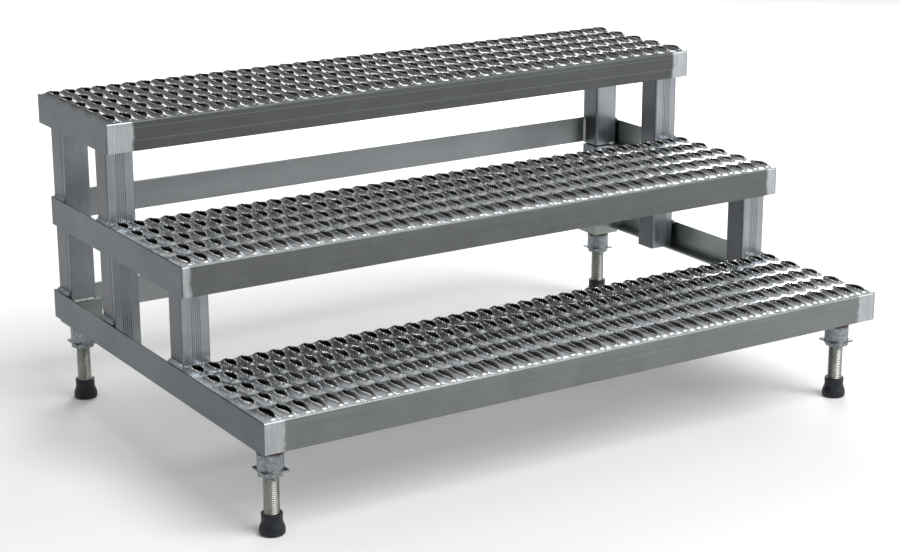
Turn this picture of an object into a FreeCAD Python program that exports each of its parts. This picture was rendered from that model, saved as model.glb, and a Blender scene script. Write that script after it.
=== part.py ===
import FreeCAD, Part
import os
import Sketcher
from FreeCAD import Placement, Rotation, Vector

# A three-step aluminium mounting block: three formed channel treads with raised diamond
# openings, welded between angle side rails on tube posts, standing on four screw legs.
# Frame: origin on the ground under the middle of the stand, X along the treads,
# Y from the lowest tread's front to the back of the highest, Z up. Millimetres.

SIZES = [
    # alias, value, meaning
    ("stand_length", 1219.2, "outside length of the base frame"),
    ("stand_depth", 836.0, "front of the lowest tread to back of the top tread"),
    ("base_top", 202.3, "top of the base frame above the ground"),
    ("middle_rise", 171.8, "middle frame above the base frame"),
    ("top_rise", 176.6, "top frame above the middle frame"),
    ("base_rail_end", 804.0, "back end of the base side rails"),
    ("middle_rail_end", 800.0, "back end of the middle side rails"),
    ("frame_step", 3.2, "how far the upper frames stand in at each end"),
    ("frame_height", 50.8, "height of every rail, tread and rear bar"),
    ("rail_flange", 25.4, "width of a rail's bottom flange"),
    ("rail_wall", 3.2, "thickness of the rails"),
    ("tread_pitch", 271.5, "front face to front face of successive treads"),
    ("tread_depth", 293.0, "front to back of one tread"),
    ("tread_wall", 2.5, "tread sheet thickness"),
    ("tread_bend", 3.4, "outside radius of the tread's bends"),
    ("tread_lip", 20.0, "width of the tread's inward bottom lips"),
    ("column_pitch", 28.7, "opening to opening along the tread"),
    ("row_pitch", 57.5, "opening to opening across the tread"),
    ("first_column", 23.5, "first column of openings from the stand's left end"),
    ("first_row", 36.6, "first row of openings from the tread's front"),
    ("opening_width", 18.3, "diamond opening along the tread"),
    ("opening_length", 45.0, "diamond opening across the tread"),
    ("front_reach", 31.6, "longer front half of the first row's openings"),
    ("rim_wall", 1.0, "thickness of the raised rim at an opening's sides"),
    ("rim_height", 7.0, "rims above the frame's top"),
    ("post_width", 50.0, "post along the treads"),
    ("post_depth", 47.0, "post front to back"),
    ("post_wall", 3.0, "post tube wall"),
    ("post_round", 4.0, "post outer corner radius"),
    ("post_inset", 10.5, "post outer face inside the base frame's end"),
    ("groove_pitch", 3.6, "spacing of the grooves on a post's front face"),
    ("groove_width", 1.4, "width of one groove"),
    ("groove_deep", 0.6, "depth of one groove"),
    ("bar_wall", 6.35, "thickness of the flat rear bars"),
    ("brace_rise", 126.0, "bottom of the rear brace above the base frame's top"),
    ("leg_inset", 38.0, "leg axis inside the base frame's end"),
    ("leg_front", 52.0, "front leg axis behind the front face"),
    ("leg_rear", 775.5, "rear leg axis behind the front face"),
    ("socket_side", 57.0, "square leg socket"),
    ("socket_wall", 3.0, "leg socket wall"),
    ("socket_cap", 14.0, "top of a socket below the base frame's top"),
    ("front_drop", 58.0, "bottom of a front socket below the base frame's top"),
    ("rear_drop", 62.0, "bottom of a rear socket below the base frame's top"),
    ("sleeve_radius", 21.1, "outside radius of the pipe sleeve"),
    ("sleeve_wall", 3.5, "wall of the pipe sleeve"),
    ("sleeve_bottom", 107.3, "bottom of the sleeve above the ground"),
    ("plate_side", 42.5, "square plate under the sleeve"),
    ("plate_wall", 3.0, "thickness of the square plate"),
    ("nut_flats", 38.0, "leg nut across its flats"),
    ("nut_height", 7.0, "leg nut height"),
    ("rod_radius", 12.7, "threaded rod over its crests"),
    ("rod_clearance", 0.05, "radial running clearance of the rod"),
    ("plate_clearance", 0.4, "radial clearance of the rod in the square plate"),
    ("rod_top", 137.3, "top of the rod above the ground"),
    ("washer_wall", 1.6, "steel washer inside the rubber foot"),
    ("washer_gap", 0.3, "washer edge inside the foot's bore"),
    ("foot_height", 35.6, "rubber foot"),
    ("foot_collar", 17.0, "radius of the foot's collar"),
    ("foot_waist", 21.0, "height of the foot's waist"),
    ("foot_flare", 20.75, "widest radius of the foot"),
    ("foot_edge", 2.5, "height of the foot's rounded bottom edge"),
    ("foot_sole", 19.0, "radius of the foot's flat sole"),
    ("foot_floor", 8.0, "rubber under the washer"),
    ("weld_leg", 4.0, "leg length of a fillet weld"),
]

TREAD_ROWS = 5
TREAD_COLUMNS = 42
GROOVES = 5
SIDES = (("left", -1), ("right", 1))


class Length:
    """A number together with the sheet expression that gives it."""

    def __init__(self, value, text=None):
        self.value = float(value)
        self.text = text or str(float(value))

    def __add__(self, other):
        other = as_length(other)
        return Length(self.value + other.value, f"({self.text} + {other.text})")

    def __sub__(self, other):
        other = as_length(other)
        return Length(self.value - other.value, f"({self.text} - {other.text})")

    def __mul__(self, factor):
        return Length(self.value * factor, f"{self.text} * ({factor})")

    def __truediv__(self, divisor):
        return self * (1 / divisor)

    def __neg__(self):
        return self * -1


def as_length(thing):
    return thing if isinstance(thing, Length) else Length(thing)


doc = FreeCAD.newDocument("mounting_block")
sheet = doc.addObject("Spreadsheet::Sheet", "Sizes")
for number, (alias, value, meaning) in enumerate(SIZES, start=1):
    sheet.set(f"A{number}", meaning)
    sheet.set(f"B{number}", str(value))
    sheet.setAlias(f"B{number}", alias)
doc.recompute()

size = {alias: Length(sheet.get(alias), f"Sizes.{alias}") for alias, _, _ in SIZES}
parts = []


# ---- small helpers ----------------------------------------------------------------


def bind(thing, **lengths):
    """Bind properties to the sheet."""
    for name, length in lengths.items():
        thing.setExpression(name, as_length(length).text)
    return thing


def place(thing, x, y, z, rotation=Rotation()):
    """Put an object at a point bound to the sheet."""
    x, y, z = as_length(x), as_length(y), as_length(z)
    thing.Placement = Placement(Vector(x.value, y.value, z.value), rotation)
    thing.setExpression("Placement.Base.x", x.text)
    thing.setExpression("Placement.Base.y", y.text)
    thing.setExpression("Placement.Base.z", z.text)
    return thing


def keep(thing, label):
    """Register a finished sub-part under its node name."""
    thing.Label = label
    parts.append(thing)
    return thing


def box(name, x, y, z, length, width, height):
    block = doc.addObject("Part::Box", name)
    bind(block, Length=length, Width=width, Height=height)
    return place(block, x, y, z)


def cylinder(name, x, y, z, radius, height):
    rod = doc.addObject("Part::Cylinder", name)
    bind(rod, Radius=radius, Height=height)
    return place(rod, x, y, z)


def cut(name, base, *tools):
    for number, tool in enumerate(tools):
        result = doc.addObject("Part::Cut", f"{name}_cut{number}")
        result.Base = base
        result.Tool = tool
        base = result
    return base


def plane_of(body, role):
    return next(item for item in body.Origin.OriginFeatures if item.Role == role)


def add_sketch(body, name, role):
    sketch = body.newObject("Sketcher::SketchObject", name)
    sketch.AttachmentSupport = [(plane_of(body, role), "")]
    sketch.MapMode = "FlatFace"
    return sketch


def new_body(name, role="XY_Plane"):
    body = doc.addObject("PartDesign::Body", name + "_body")
    return body, add_sketch(body, name + "_outline", role)


def hold(sketch, geometry, along_x, length):
    """Bind one coordinate of a line's start point to the sheet."""
    if abs(length.value) < 1e-9:
        on_axis = -2 if along_x else -1
        sketch.addConstraint(Sketcher.Constraint("PointOnObject", geometry, 1, on_axis))
        return
    kind = "DistanceX" if along_x else "DistanceY"
    constraint = Sketcher.Constraint(kind, -1, 1, geometry, 1, length.value)
    number = sketch.addConstraint(constraint)
    sketch.setExpression(f"Constraints[{number}]", length.text)


def add_loop(sketch, corners):
    """A closed outline of straight edges whose corners are bound to the sheet."""
    corners = [(as_length(x), as_length(y)) for x, y in corners]
    first = sketch.GeometryCount
    points = [Vector(x.value, y.value, 0) for x, y in corners]
    lines = [Part.LineSegment(a, b) for a, b in zip(points, points[1:] + points[:1])]
    sketch.addGeometry(lines, False)
    count = len(points)
    for index in range(count):
        after = first + (index + 1) % count
        sketch.addConstraint(Sketcher.Constraint("Coincident", first + index, 2, after, 1))
    for index, (x, y) in enumerate(corners):
        hold(sketch, first + index, True, x)
        hold(sketch, first + index, False, y)


def pad(body, sketch, length, midplane=False):
    feature = body.newObject("PartDesign::Pad", sketch.Name + "_pad")
    feature.Profile = sketch
    feature.Refine = False
    if midplane:
        feature.Midplane = True
    bind(feature, Length=length)
    body.Tip = feature
    return feature


def edges_where(shape, wanted):
    """Names of the straight edges whose two ends both pass a test."""
    names = []
    for number, edge in enumerate(shape.Edges, start=1):
        ends = [vertex.Point for vertex in edge.Vertexes]
        if len(ends) == 2 and wanted(*ends):
            names.append(f"Edge{number}")
    return names


def fillet(body, base, names, radius):
    rounding = body.newObject("PartDesign::Fillet", base.Name + "_round")
    rounding.Base = (base, names)
    bind(rounding, Radius=radius)
    body.Tip = rounding
    return rounding


# ---- places -----------------------------------------------------------------------

LEFT = -size["stand_length"] / 2
FRONT = -size["stand_depth"] / 2
HEIGHT = size["frame_height"]
BASE_TOP = size["base_top"]
MIDDLE_TOP = BASE_TOP + size["middle_rise"]
TOP_TOP = MIDDLE_TOP + size["top_rise"]
RAIL_WALL = size["rail_wall"]
NO_STEP = Length(0)

# name, top, front face behind the stand's front, inset at each end, back end of the rails
FRAMES = (
    ("base", BASE_TOP, NO_STEP, NO_STEP, size["base_rail_end"]),
    ("middle", MIDDLE_TOP, size["tread_pitch"], size["frame_step"], size["middle_rail_end"]),
    ("top", TOP_TOP, size["tread_pitch"] * 2, size["frame_step"], size["stand_depth"]),
)


def at_side(side, distance, width=NO_STEP):
    """Low X of something `width` wide that stands `distance` in from one end."""
    return LEFT + distance if side < 0 else -LEFT - distance - width


# ---- side rails -------------------------------------------------------------------


def side_rail(label, side, top, front, inset, rear, flange_runs):
    """An angle: web upright at the outside, flange turned in along the bottom."""
    bottom = top - HEIGHT
    web_x = at_side(side, inset, RAIL_WALL)
    pieces = [box(label + "_web", web_x, FRONT + front, bottom, RAIL_WALL, rear - front, HEIGHT)]
    flange = size["rail_flange"] - RAIL_WALL
    flange_x = at_side(side, inset + RAIL_WALL, flange)
    for number, (start, end) in enumerate(flange_runs):
        name = f"{label}_flange{number}"
        pieces.append(box(name, flange_x, FRONT + start, bottom, flange, end - start, RAIL_WALL))
    rail = doc.addObject("Part::MultiFuse", label + "_angle")
    rail.Shapes = pieces
    rail.Refine = True
    keep(rail, label)


half_socket = size["socket_side"] / 2
SOCKET_RUNS = [
    (size["tread_wall"], size["leg_front"] - half_socket),
    (size["leg_front"] + half_socket, size["leg_rear"] - half_socket),
]
for name, top, front, inset, rear in FRAMES:
    runs = SOCKET_RUNS if name == "base" else [(front + size["tread_wall"], rear)]
    for side_name, side in SIDES:
        side_rail(f"{name}_rail_{side_name}", side, top, front, inset, rear, runs)


# ---- treads -----------------------------------------------------------------------


def diamond(x, y, half_width, front_half, rear_half):
    corners = [
        Vector(x - half_width, y, 0),
        Vector(x, y - front_half, 0),
        Vector(x + half_width, y, 0),
        Vector(x, y + rear_half, 0),
    ]
    return [Part.LineSegment(a, b) for a, b in zip(corners, corners[1:] + corners[:1])]


def tread_openings():
    """Outlines of the openings and of their rims, about the middle of the tread."""
    half_width = size["opening_width"].value / 2
    half_length = size["opening_length"].value / 2
    spread = 1 + size["rim_wall"].value / half_width
    openings = []
    rims = []
    for column in range(TREAD_COLUMNS):
        from_left = size["first_column"].value + column * size["column_pitch"].value
        x = from_left - size["stand_length"].value / 2
        for row in range(TREAD_ROWS):
            from_front = size["first_row"].value + row * size["row_pitch"].value
            y = from_front - size["tread_depth"].value / 2
            front_half = size["front_reach"].value if row == 0 else half_length
            hole = diamond(x, y, half_width, front_half, half_length)
            openings += hole
            rims += hole
            rims += diamond(x, y, half_width * spread, front_half * spread, half_length * spread)
    return openings, rims


def tread(label, top, front, inset):
    """A channel, open below: a pierced top sheet, two webs and two inward lips."""
    wall = size["tread_wall"]
    lip = size["tread_lip"]
    half_depth = size["tread_depth"] / 2
    half_length = size["stand_length"] / 2 - inset - RAIL_WALL
    foot = wall - HEIGHT
    openings, rims = tread_openings()

    # The body's own XY plane is the underside of the top sheet.
    body, profile = new_body(label, "YZ_Plane")
    add_loop(profile, [
        (-half_depth, foot), (lip - half_depth, foot), (lip - half_depth, foot + wall),
        (wall - half_depth, foot + wall), (wall - half_depth, 0), (half_depth - wall, 0),
        (half_depth - wall, foot + wall), (half_depth - lip, foot + wall),
        (half_depth - lip, foot), (half_depth, foot), (half_depth, wall),
        (-half_depth, wall),
    ])
    channel = pad(body, profile, half_length * 2, midplane=True)
    doc.recompute()
    bends = edges_where(channel.Shape, lambda a, b: (
        abs(a.z - wall.value) + abs(b.z - wall.value) < 1e-6
        and abs(abs(a.y) - half_depth.value) < 1e-6 and abs(a.y - b.y) < 1e-6))
    fillet(body, channel, bends, size["tread_bend"])

    holes = add_sketch(body, label + "_openings", "XY_Plane")
    holes.addGeometry(openings, False)
    pierce = body.newObject("PartDesign::Pocket", label + "_pierce")
    pierce.Profile = holes
    pierce.Refine = False
    pierce.Reversed = True
    bind(pierce, Length=wall)

    # The rail flanges run under the rear web; the front web keeps its full height.
    copes = add_sketch(body, label + "_copes", "XZ_Plane")
    flange_edge = half_length + RAIL_WALL - size["rail_flange"]
    for sign in (-1, 1):
        add_loop(copes, [(flange_edge * sign, foot), ((half_length + 1) * sign, foot),
                         ((half_length + 1) * sign, foot + RAIL_WALL),
                         (flange_edge * sign, foot + RAIL_WALL)])
    coped = body.newObject("PartDesign::Pocket", label + "_cope")
    coped.Profile = copes
    coped.Refine = False
    coped.SideType = "Two sides"
    bind(coped, Length=half_depth + 1, Length2=half_depth - wall)

    rim_sketch = add_sketch(body, label + "_rims", "XY_Plane")
    rim_sketch.addGeometry(rims, False)
    pad(body, rim_sketch, wall + size["rim_height"])
    place(body, 0, FRONT + front + half_depth, top - wall)
    keep(body, label)


for name, top, front, inset, rear in FRAMES:
    tread(f"{name}_tread", top, front, inset)


# ---- posts ------------------------------------------------------------------------


def post_outline(grooved):
    """Outline of a post, with its front face along the sketch's X axis."""
    width = size["post_width"]
    corners = [(0, 0)]
    if grooved:
        for number in range(GROOVES):
            middle = width / 2 + size["groove_pitch"] * (number - (GROOVES - 1) / 2)
            half_groove = size["groove_width"] / 2
            corners.append((middle - half_groove, 0))
            corners.append((middle, size["groove_deep"]))
            corners.append((middle + half_groove, 0))
    return corners + [(width, 0), (width, size["post_depth"]), (0, size["post_depth"])]


def post(label, side, front, bottom, top, grooved):
    """A rectangular tube with rounded corners."""
    width = size["post_width"]
    depth = size["post_depth"]
    wall = size["post_wall"]
    body, outline = new_body(label)
    add_loop(outline, post_outline(grooved))
    add_loop(outline, [(wall, wall), (width - wall, wall), (width - wall, depth - wall),
                       (wall, depth - wall)])
    tube = pad(body, outline, top - bottom)
    doc.recompute([tube])
    corners = edges_where(tube.Shape, lambda a, b: (
        abs(a.x - b.x) + abs(a.y - b.y) < 1e-6
        and min(abs(a.x), abs(a.x - width.value)) < 1e-6
        and min(abs(a.y), abs(a.y - depth.value)) < 1e-6))
    fillet(body, tube, corners, size["post_round"])
    place(body, at_side(side, size["post_inset"], width), FRONT + front, bottom)
    keep(body, label)


BASE_FLANGE = BASE_TOP - HEIGHT + RAIL_WALL
MIDDLE_UNDER = MIDDLE_TOP - HEIGHT
MIDDLE_FLANGE = MIDDLE_UNDER + RAIL_WALL
TOP_UNDER = TOP_TOP - HEIGHT
SOCKET_TOP = BASE_TOP - size["socket_cap"]
FRONT_POST = size["tread_depth"]
MIDDLE_POST = size["tread_pitch"] + size["tread_depth"]
REAR_POST = size["base_rail_end"] - size["post_depth"]

for side_name, side in SIDES:
    post(f"front_post_{side_name}", side, FRONT_POST, BASE_FLANGE, MIDDLE_UNDER, True)
    post(f"middle_post_lower_{side_name}", side, MIDDLE_POST, BASE_FLANGE, MIDDLE_UNDER, True)
    post(f"middle_post_upper_{side_name}", side, MIDDLE_POST, MIDDLE_FLANGE, TOP_UNDER, True)
    post(f"rear_post_lower_{side_name}", side, REAR_POST, SOCKET_TOP, MIDDLE_UNDER, False)
    post(f"rear_post_upper_{side_name}", side, REAR_POST, MIDDLE_FLANGE, TOP_UNDER, False)


# ---- rear bars --------------------------------------------------------------------

BAR_FRONT = FRONT + size["base_rail_end"] - size["bar_wall"]
POST_INSIDE = size["post_inset"] + size["post_width"]
SOCKET_INSIDE = size["leg_inset"] + half_socket
BRACE_BOTTOM = BASE_TOP + size["brace_rise"]


def rear_bar(label, end_distance, bottom):
    """A flat bar between the two ends of the stand, flush with the posts' backs."""
    length = size["stand_length"] - end_distance * 2
    keep(box(label + "_bar", LEFT + end_distance, BAR_FRONT, bottom, length,
             size["bar_wall"], HEIGHT), label)


rear_bar("rear_brace", POST_INSIDE, BRACE_BOTTOM)
rear_bar("base_rear_bar", SOCKET_INSIDE, BASE_TOP - HEIGHT)


# ---- legs -------------------------------------------------------------------------


def leg_socket(label, x, y, drop):
    """A closed square box with a hole below for the sleeve."""
    side = size["socket_side"]
    wall = size["socket_wall"]
    bottom = BASE_TOP - drop
    height = drop - size["socket_cap"]
    shell = box(label + "_shell", x - side / 2, y - side / 2, bottom, side, side, height)
    inner = side - wall * 2
    hollow = box(label + "_hollow", x - inner / 2, y - inner / 2, bottom + wall, inner,
                 inner, height - wall * 2)
    mouth = cylinder(label + "_mouth", x, y, bottom, size["sleeve_radius"], wall)
    keep(cut(label, shell, hollow, mouth), label)


def leg_sleeve(label, x, y):
    """A pipe from the underside of the socket's top down to the square plate."""
    bottom = size["sleeve_bottom"]
    height = SOCKET_TOP - size["socket_wall"] - bottom
    outside = cylinder(label + "_outside", x, y, bottom, size["sleeve_radius"], height)
    inner = size["sleeve_radius"] - size["sleeve_wall"]
    keep(cut(label, outside, cylinder(label + "_bore", x, y, bottom, inner, height)), label)


def leg_plate(label, x, y):
    side = size["plate_side"]
    low = size["sleeve_bottom"] - size["plate_wall"]
    blank = box(label + "_blank", x - side / 2, y - side / 2, low, side, side,
                size["plate_wall"])
    bore = cylinder(label + "_bore", x, y, low, size["rod_radius"] + size["plate_clearance"],
                    size["plate_wall"])
    keep(cut(label, blank, bore), label)


def leg_nut(label, x, y):
    """A thin hexagon nut whose lower corners are turned to a cone."""
    height = size["nut_height"]
    low = size["sleeve_bottom"] - size["plate_wall"] - height
    hexagon = doc.addObject("Part::Prism", label + "_hexagon")
    hexagon.Polygon = 6
    bind(hexagon, Height=height)
    hexagon.setExpression("Circumradius", "Sizes.nut_flats / (2 * cos(30 deg))")
    place(hexagon, x, y, low)
    cone = doc.addObject("Part::Cone", label + "_cone")
    small = size["nut_flats"] / 2
    bind(cone, Radius1=small, Radius2=small + height * 2, Height=height)
    place(cone, x, y, low)
    turned = doc.addObject("Part::MultiCommon", label + "_turned")
    turned.Shapes = [hexagon, cone]
    bore = cylinder(label + "_bore", x, y, low, size["rod_radius"] + size["rod_clearance"],
                    height)
    keep(cut(label, turned, bore), label)


def threaded_rod(label, x, y):
    """The screw as a plain cylinder over the crests of its thread."""
    bottom = size["foot_floor"] + size["washer_wall"]
    keep(cylinder(label + "_shank", x, y, bottom, size["rod_radius"],
                  size["rod_top"] - bottom), label)


def rubber_foot(label, x, y):
    """A cup round the end of the rod, flared to a flat sole."""
    body, outline = new_body(label, "XZ_Plane")
    bore = size["rod_radius"] + size["rod_clearance"]
    add_loop(outline, [
        (0, 0), (size["foot_sole"], 0), (size["foot_flare"], size["foot_edge"]),
        (size["foot_flare"], size["foot_floor"]), (size["foot_collar"], size["foot_waist"]),
        (size["foot_collar"], size["foot_height"]), (bore, size["foot_height"]),
        (bore, size["foot_floor"]), (0, size["foot_floor"]),
    ])
    turned = body.newObject("PartDesign::Revolution", label + "_turned")
    turned.Profile = outline
    turned.ReferenceAxis = (outline, ["V_Axis"])
    turned.Angle = 360
    body.Tip = turned
    place(body, x, y, 0)
    keep(body, label)


def foot_washer(label, x, y):
    radius = size["rod_radius"] + size["rod_clearance"] - size["washer_gap"]
    keep(cylinder(label + "_disc", x, y, size["foot_floor"], radius, size["washer_wall"]),
         label)


LEG_ENDS = (
    ("front", size["leg_front"], size["front_drop"]),
    ("rear", size["leg_rear"], size["rear_drop"]),
)
for end, distance, drop in LEG_ENDS:
    for side_name, side in SIDES:
        leg = f"{end}_{side_name}"
        x = at_side(side, size["leg_inset"])
        y = FRONT + distance
        leg_socket(f"leg_socket_{leg}", x, y, drop)
        leg_sleeve(f"leg_sleeve_{leg}", x, y)
        leg_plate(f"leg_plate_{leg}", x, y)
        leg_nut(f"leg_nut_{leg}", x, y)
        threaded_rod(f"threaded_rod_{leg}", x, y)
        rubber_foot(f"rubber_foot_{leg}", x, y)
        foot_washer(f"foot_washer_{leg}", x, y)


# ---- welds ------------------------------------------------------------------------


def bead(corner, run, first_leg, second_leg):
    """A fillet weld: a triangular prism along an inside corner."""
    outline = Part.makePolygon([corner, corner + first_leg, corner + second_leg, corner])
    return Part.Face(outline).extrude(run)


def post_welds(side, front, z, up, flange_end, faces):
    """Fillets where one end of a post meets a flange or a socket top.

    up is 1 at a post's foot and -1 under a flange. faces names the post's faces to weld.
    """
    leg = size["weld_leg"].value
    turn = size["post_round"].value
    depth = size["post_depth"].value
    inset = size["post_inset"].value
    inward = -side
    end_x = side * size["stand_length"].value / 2
    outer_x = end_x + inward * inset
    front_y = FRONT.value + front.value
    rise = Vector(0, 0, up * leg)
    across = Vector(inward * (flange_end - inset - turn), 0, 0)
    start_x = outer_x + inward * turn
    beads = []
    if "front" in faces:
        beads.append(bead(Vector(start_x, front_y, z), across, Vector(0, -leg, 0), rise))
    if "back" in faces:
        beads.append(bead(Vector(start_x, front_y + depth, z), across, Vector(0, leg, 0), rise))
    if "outer" in faces:
        corner = Vector(outer_x, front_y + turn, z)
        along = Vector(0, depth - 2 * turn, 0)
        beads.append(bead(corner, along, Vector(-inward * leg, 0, 0), rise))
    return beads


def bar_weld(side, end_distance, low, height):
    """An upright fillet where a rear bar's front face meets the post or socket."""
    leg = size["weld_leg"].value
    x = side * (size["stand_length"].value / 2 - end_distance.value)
    corner = Vector(x, BAR_FRONT.value, low)
    return bead(corner, Vector(0, 0, height), Vector(-side * leg, 0, 0), Vector(0, -leg, 0))


base_edge = size["rail_flange"].value
upper_edge = base_edge + size["frame_step"].value
socket_edge = POST_INSIDE.value - size["post_round"].value
BASE_FOOT = (BASE_FLANGE.value, 1, base_edge)
MIDDLE_HEAD = (MIDDLE_UNDER.value, -1, upper_edge)
MIDDLE_FOOT = (MIDDLE_FLANGE.value, 1, upper_edge)
TOP_HEAD = (TOP_UNDER.value, -1, upper_edge)
POST_WELDS = (
    (FRONT_POST, BASE_FOOT, ("back", "outer")),
    (FRONT_POST, MIDDLE_HEAD, ("front", "back", "outer")),
    (MIDDLE_POST, BASE_FOOT, ("back", "outer")),
    (MIDDLE_POST, MIDDLE_HEAD, ("front", "back", "outer")),
    (MIDDLE_POST, MIDDLE_FOOT, ("back", "outer")),
    (MIDDLE_POST, TOP_HEAD, ("front", "back", "outer")),
    (REAR_POST, (SOCKET_TOP.value, 1, socket_edge), ("front",)),
    (REAR_POST, MIDDLE_HEAD, ("front",)),
    (REAR_POST, MIDDLE_FOOT, ("front",)),
    (REAR_POST, TOP_HEAD, ("front", "back", "outer")),
)

beads = []
for _, side in SIDES:
    for front, (z, up, edge), faces in POST_WELDS:
        beads += post_welds(side, front, z, up, edge, faces)
    beads.append(bar_weld(side, POST_INSIDE, BRACE_BOTTOM.value, HEIGHT.value))
    bar_low = BASE_FLANGE.value
    beads.append(bar_weld(side, SOCKET_INSIDE, bar_low, SOCKET_TOP.value - bar_low))

welds = doc.addObject("Part::Feature", "weld_beads_shape")
welds.Shape = Part.makeCompound(beads)
welds.Placement = Placement()
keep(welds, "weld_beads")


# ---- check and write --------------------------------------------------------------

doc.recompute()
for item in doc.Objects:
    if "Invalid" in item.State or "Error" in item.State:
        raise RuntimeError(f"{item.Name} failed: {item.State}")
for item in parts:
    if item.Shape.isNull() or not item.Shape.isValid():
        raise RuntimeError(f"{item.Label} has no valid shape")

os.makedirs("parts", exist_ok=True)
for item in parts:
    item.Shape.exportStep(f"parts/{item.Label}.step")
for item in parts:
    bounds = item.Shape.BoundBox
    print(f"{item.Label:28s} solids {len(item.Shape.Solids):3d}"
          f"  volume {item.Shape.Volume:10.0f}"
          f"  x {bounds.XMin:8.1f} {bounds.XMax:8.1f}"
          f"  y {bounds.YMin:8.1f} {bounds.YMax:8.1f}"
          f"  z {bounds.ZMin:7.1f} {bounds.ZMax:7.1f}")
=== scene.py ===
import math
import random

import bpy
import numpy as np
from mathutils import Matrix, Vector


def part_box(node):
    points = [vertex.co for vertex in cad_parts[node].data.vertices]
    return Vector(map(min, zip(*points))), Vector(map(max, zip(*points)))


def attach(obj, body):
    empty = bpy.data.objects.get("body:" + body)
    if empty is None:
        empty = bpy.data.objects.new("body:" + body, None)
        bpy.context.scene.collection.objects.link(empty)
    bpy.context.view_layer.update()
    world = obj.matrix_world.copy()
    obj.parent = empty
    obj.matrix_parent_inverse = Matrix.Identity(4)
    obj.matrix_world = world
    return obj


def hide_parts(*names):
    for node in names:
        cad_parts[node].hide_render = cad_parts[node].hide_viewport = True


# A three-step aluminium mounting block on four screw legs. Metres, in the CAD frame.

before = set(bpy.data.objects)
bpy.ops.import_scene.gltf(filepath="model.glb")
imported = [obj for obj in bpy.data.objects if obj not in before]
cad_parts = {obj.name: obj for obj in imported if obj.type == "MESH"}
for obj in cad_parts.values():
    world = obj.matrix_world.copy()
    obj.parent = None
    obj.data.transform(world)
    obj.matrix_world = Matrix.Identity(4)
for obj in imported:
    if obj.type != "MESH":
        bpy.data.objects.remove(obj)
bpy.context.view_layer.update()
random.seed(7)

# The parts' names come from these. Each side carries its way out along X.
LEVELS = ("base", "middle", "top")
SIDES = {"left": -1, "right": 1}
LEGS = ("front_left", "front_right", "rear_left", "rear_right")
POSTS = ("front_post", "middle_post_lower", "middle_post_upper", "rear_post_lower",
         "rear_post_upper")

MM = 0.001

# Tread sheet, its bends and bottom lips, and the rail flanges that it sits on.
SHEET = 2.5 * MM
BEND = 3.4 * MM
BEND_STOPS = (0, 22.5, 45, 67.5, 90)
LIP = 20 * MM
LIP_OVERLAP = 0.2 * MM
FLANGE_REACH = 22.2 * MM
FLANGE_WALL = 3.2 * MM

# Openings of a tread and their serrated rims.
COLUMNS = 42
ROWS = 5
COLUMN_PITCH = 28.7 * MM
ROW_PITCH = 57.5 * MM
FIRST_COLUMN = 23.5 * MM
FIRST_ROW = 36.6 * MM
OPENING_HALF_WIDTH = 9.15 * MM
OPENING_HALF_LENGTH = 22.5 * MM
FRONT_REACH = 31.6 * MM
REAR_REACH = 22.0 * MM
COLUMN_SHIFT = 0.8 * MM
RIM_HEIGHT = 7 * MM
RIM_TIP = 3.5 * MM
CREST_SPREAD = 0.5 * MM
TOOTH = 1.7 * MM
TOOTH_FROM = 0.35
RIM_EDGE = 1.1 * MM
# How far down a rim's inner wall its painted highlight reaches.
RIM_GLINT = 0.9 * MM
OUTLINE_POWER = 0.85
CREST_POWER = 0.7
SLOPE_POWER = 1.8

# The grid that a cell round one opening is made from, and what its rings tell the material: where
# the rims get a painted highlight and where the insides get painted shade.
SIDE_STEPS = 16
END_STEPS = 4
TOP_RINGS = (0.0, 0.4, 0.7, 0.88, 1.0)
RIM_HIGHLIGHT_MARKS = (0, 0, 0, 0.4, 1, 1, 0.6, 0, 0)
INSIDE_SHADE_MARKS = (0, 0, 0, 0, 0, 0, 0.3, 1, 1)
TOOTH_HIGHLIGHT_MARKS = (1.0, 0.2)
LIP_SHADE_MARK = 0.35

# Heights where the dark band at each sleeve's top begins and is full, and how far they wander.
DARK_BAND_FROM = 131 * MM
DARK_BAND_TO = 135 * MM
DARK_BAND_WANDER = 2 * MM

# Rods and feet.
THREAD_PITCH = 3.175 * MM
THREAD_DEPTH = 1.2 * MM
THREAD_FLANK = 1.25
THREAD_CREST = 0.12
ROD_SEGMENTS = 32
ROD_ROWS_A_TURN = 6
FOOT_SEGMENTS = 48
FOOT_BORE = 12.75 * MM
FOOT_COLLAR = 17.0 * MM
FOOT_FLOOR = 8.0 * MM
FOOT_SOLE_ROUND = 4.0 * MM
FOOT_LIP_ROUND = 1.5 * MM

# A weld bead's ripples, tapered ends and crown.
BEAD_STEP = 0.8 * MM
BEAD_LEAST_STEPS = 6
BEAD_SEGMENTS = 6
BEAD_PHASES = 6.28
BEAD_REACH = 0.90
BEAD_RIPPLE = 0.09
BEAD_RIPPLE_PITCH = 2.1 * MM
BEAD_GRAIN = 0.06
BEAD_END = 0.55
BEAD_END_SLOPE = 6
BEAD_CROWN = 0.16

# Beads between the posts and the rails' upright walls.
EDGE_WELDED_POSTS = {
    "base": ("front_post", "middle_post_lower", "rear_post_lower"),
    "middle": ("middle_post_upper", "rear_post_upper"),
}
EDGE_WELD_MARGIN = 0.9 * MM
EDGE_WELD_DROP = 2.5 * MM
EDGE_WELD_RISE = 8.0 * MM
EDGE_WELD_RETURN = 4.5 * MM

# Stage and camera: metres and degrees, but the lens and sensor are in millimetres.
FLOOR_REACH = 40.0
WORLD_STRENGTH = 0.46
AIM = (0.0, 0.0, 0.25)
CAMERA_AZIMUTH = 32.321
CAMERA_DOWN = 16.788
CAMERA_ROLL = -0.11
CAMERA_PLACE = (-1.9200, -3.0072, 1.3017)
CAMERA_LENS = 83.67
CAMERA_SENSOR = 36.0


# ---- mesh helpers -----------------------------------------------------------------


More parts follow.
